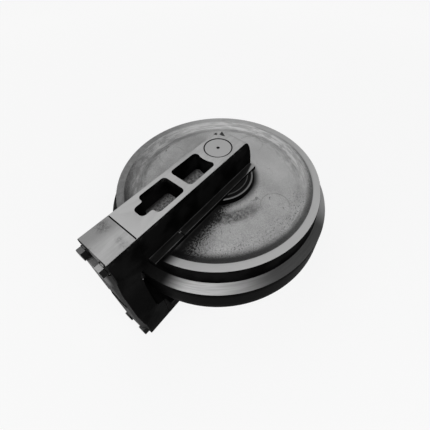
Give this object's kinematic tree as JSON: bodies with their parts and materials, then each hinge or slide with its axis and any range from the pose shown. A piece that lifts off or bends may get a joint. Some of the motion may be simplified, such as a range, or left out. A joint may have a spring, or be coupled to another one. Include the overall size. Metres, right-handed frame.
{
  "type": "excavator front idler",
  "caption": "Front idler of a tracked excavator: a flanged wheel on a sealed oil-filled shaft, held between two pocketed bearing arms that a bolted yoke joins at one end",
  "frame": {"origin": "centre of the footprint, on the plane that the lower arm lies on", "axes": "X runs along the bearing arms with the yoke at -X and the free noses at +X, Y runs across the arms, Z is the spin axis of the wheel and points up from the lower arm to the upper one"},
  "size_m": [0.613, 0.546, 0.37],
  "materials": {
    "rough_cast_paint": "rough casting under thin dark paint, machined rim faces",
    "black_paint": "dull black paint over cast steel",
    "machined_steel": "machined, lightly dulled",
    "bearing_bronze": "bearing bronze lining",
    "seal_rubber": "black seal rubber"
  },
  "bodies": {
    "frame": {"arm_lower": "black_paint", "arm_upper": "black_paint", "guide_strip_lower_far_long": "black_paint", "guide_strip_lower_far_short": "black_paint", "guide_strip_lower_near_long": "black_paint", "guide_strip_lower_near_short": "black_paint", "guide_strip_upper_far_long": "black_paint", "guide_strip_upper_far_short": "black_paint", "guide_strip_upper_near_long": "black_paint", "guide_strip_upper_near_short": "black_paint", "lock_pin_lower": "machined_steel", "lock_pin_upper": "machined_steel", "oil_plug": "machined_steel", "seal_ring_arm_lower": "machined_steel", "seal_ring_arm_upper": "machined_steel", "shaft": "machined_steel", "shaft_o_ring_lower": "seal_rubber", "shaft_o_ring_upper": "seal_rubber", "toric_ring_arm_lower": "seal_rubber", "toric_ring_arm_upper": "seal_rubber", "washer_lower_far": "machined_steel", "washer_lower_near": "machined_steel", "washer_upper_far": "machined_steel", "washer_upper_near": "machined_steel", "yoke": "black_paint", "yoke_bolt_lower_far": "machined_steel", "yoke_bolt_lower_near": "machined_steel", "yoke_bolt_upper_far": "machined_steel", "yoke_bolt_upper_near": "machined_steel"},
    "wheel": {"bushing_lower": "bearing_bronze", "bushing_upper": "bearing_bronze", "core_plug_lower_1": "rough_cast_paint", "core_plug_lower_2": "rough_cast_paint", "core_plug_lower_3": "rough_cast_paint", "core_plug_lower_4": "rough_cast_paint", "core_plug_upper_1": "rough_cast_paint", "core_plug_upper_2": "rough_cast_paint", "core_plug_upper_3": "rough_cast_paint", "core_plug_upper_4": "rough_cast_paint", "idler_wheel": "rough_cast_paint", "seal_ring_hub_lower": "machined_steel", "seal_ring_hub_upper": "machined_steel", "toric_ring_hub_lower": "seal_rubber", "toric_ring_hub_upper": "seal_rubber"}
  },
  "joints": [
    {"name": "wheel_spin", "type": "hinge", "parent": "frame", "child": "wheel", "pos_m": [0.03355, 0, 0.185], "axis": [0, 0, 1], "continuous": true}
  ]
}
